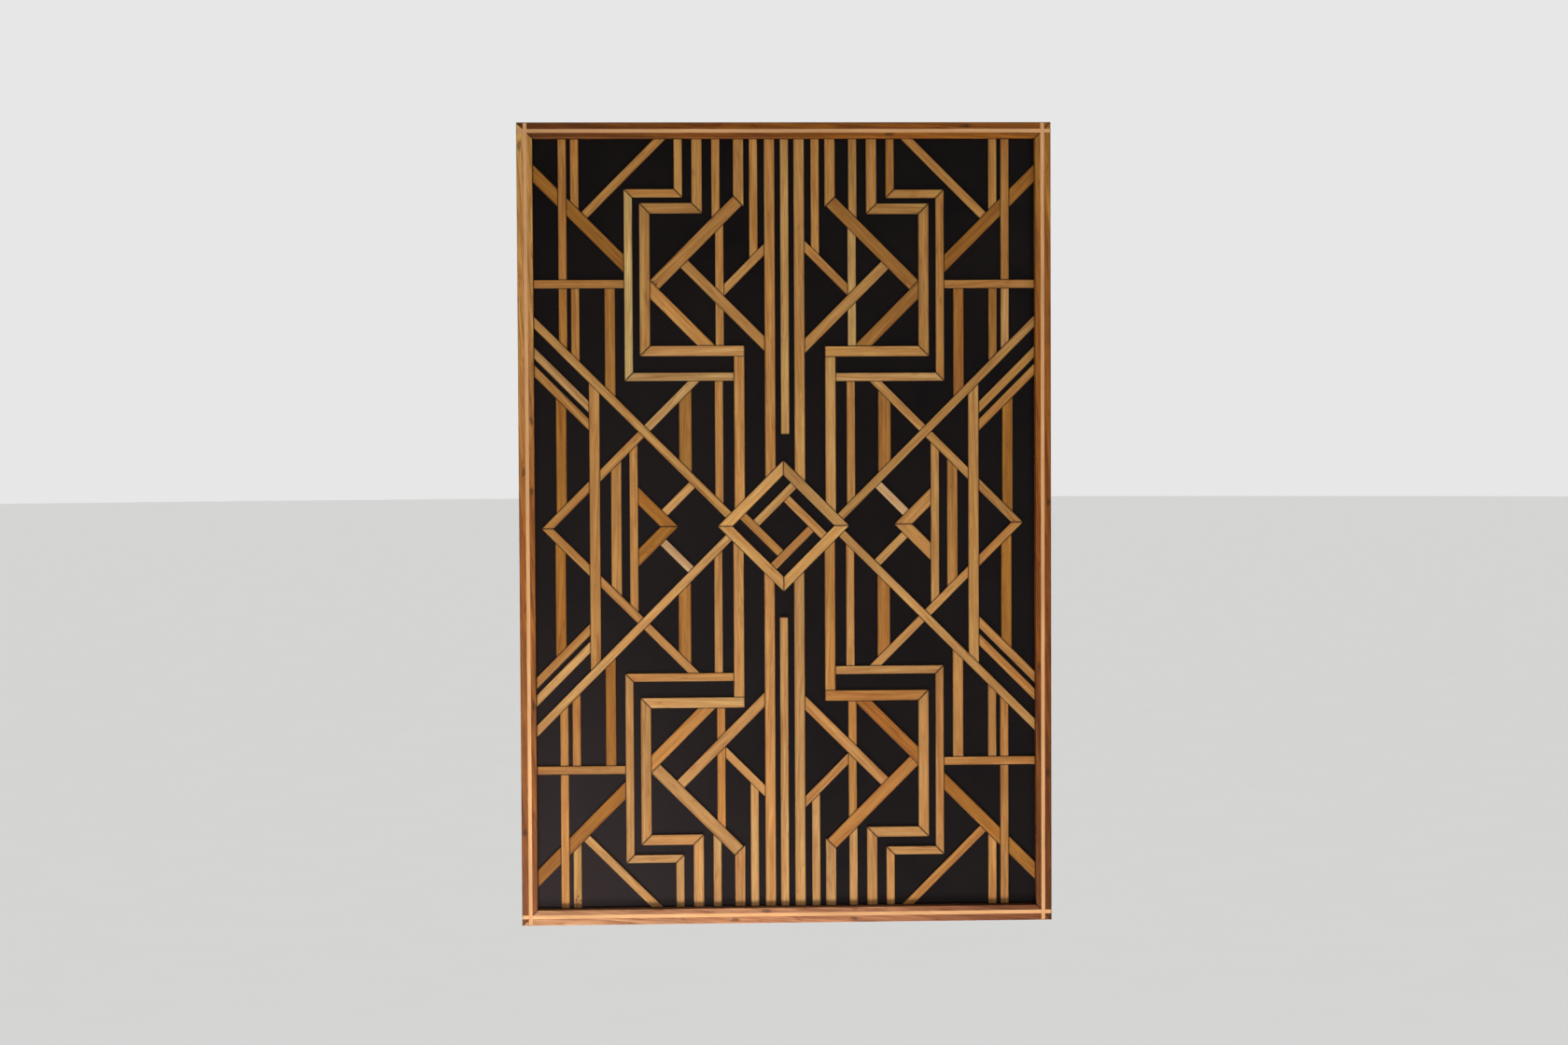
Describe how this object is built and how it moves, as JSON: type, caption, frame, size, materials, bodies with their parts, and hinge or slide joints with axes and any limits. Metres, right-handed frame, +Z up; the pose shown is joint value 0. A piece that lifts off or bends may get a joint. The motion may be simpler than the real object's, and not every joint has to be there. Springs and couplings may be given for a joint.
{
  "type": "decorative wall panel",
  "caption": "Upright framed wall panel: a black board with a symmetric lattice of straight glued wooden slats inside a mitred wooden frame with pale inlay.",
  "frame": {"origin": "middle of the back board's rear face, which lies against the wall", "axes": "+Z up along the panel's height, +X to the right seen from the front, +Y into the wall, so the face looks along -Y"},
  "size_m": [0.6, 0.025, 0.903],
  "materials": {
    "board_lacquer": "black satin lacquer",
    "frame_wood": "satin varnish",
    "inlay_wood": "satin varnish",
    "slat_wood": "satin varnish"
  },
  "bodies": {
    "root": {"back_board": "board_lacquer", "frame_rail_left": "frame_wood", "frame_rail_right": "frame_wood", "frame_rail_top": "frame_wood", "frame_rail_bottom": "frame_wood", "frame_inlay_left": "inlay_wood", "frame_inlay_right": "inlay_wood", "frame_inlay_top": "inlay_wood", "frame_inlay_bottom": "inlay_wood", "top_left_corner": "slat_wood", "top_left_crossbar": "slat_wood", "top_left_outer_step": "slat_wood", "top_left_inner_step": "slat_wood", "top_left_fan": "slat_wood", "top_left_arrow": "slat_wood", "top_left_column": "slat_wood", "top_left_long_diagonal": "slat_wood", "top_left_branch": "slat_wood", "top_right_corner": "slat_wood", "top_right_crossbar": "slat_wood", "top_right_outer_step": "slat_wood", "top_right_inner_step": "slat_wood", "top_right_fan": "slat_wood", "top_right_arrow": "slat_wood", "top_right_column": "slat_wood", "top_right_long_diagonal": "slat_wood", "top_right_branch": "slat_wood", "bottom_left_corner": "slat_wood", "bottom_left_crossbar": "slat_wood", "bottom_left_outer_step": "slat_wood", "bottom_left_inner_step": "slat_wood", "bottom_left_fan": "slat_wood", "bottom_left_arrow": "slat_wood", "bottom_left_column": "slat_wood", "bottom_left_long_diagonal": "slat_wood", "bottom_left_branch": "slat_wood", "bottom_right_corner": "slat_wood", "bottom_right_crossbar": "slat_wood", "bottom_right_outer_step": "slat_wood", "bottom_right_inner_step": "slat_wood", "bottom_right_fan": "slat_wood", "bottom_right_arrow": "slat_wood", "bottom_right_column": "slat_wood", "bottom_right_long_diagonal": "slat_wood", "bottom_right_branch": "slat_wood", "left_rack": "slat_wood", "left_ladder": "slat_wood", "left_point": "slat_wood", "left_chevron": "slat_wood", "right_rack": "slat_wood", "right_ladder": "slat_wood", "right_point": "slat_wood", "right_chevron": "slat_wood", "centre_diamond": "slat_wood", "centre_pinwheel": "slat_wood", "centre_strip_top": "slat_wood", "centre_strip_bottom": "slat_wood"}
  },
  "joints": []
}
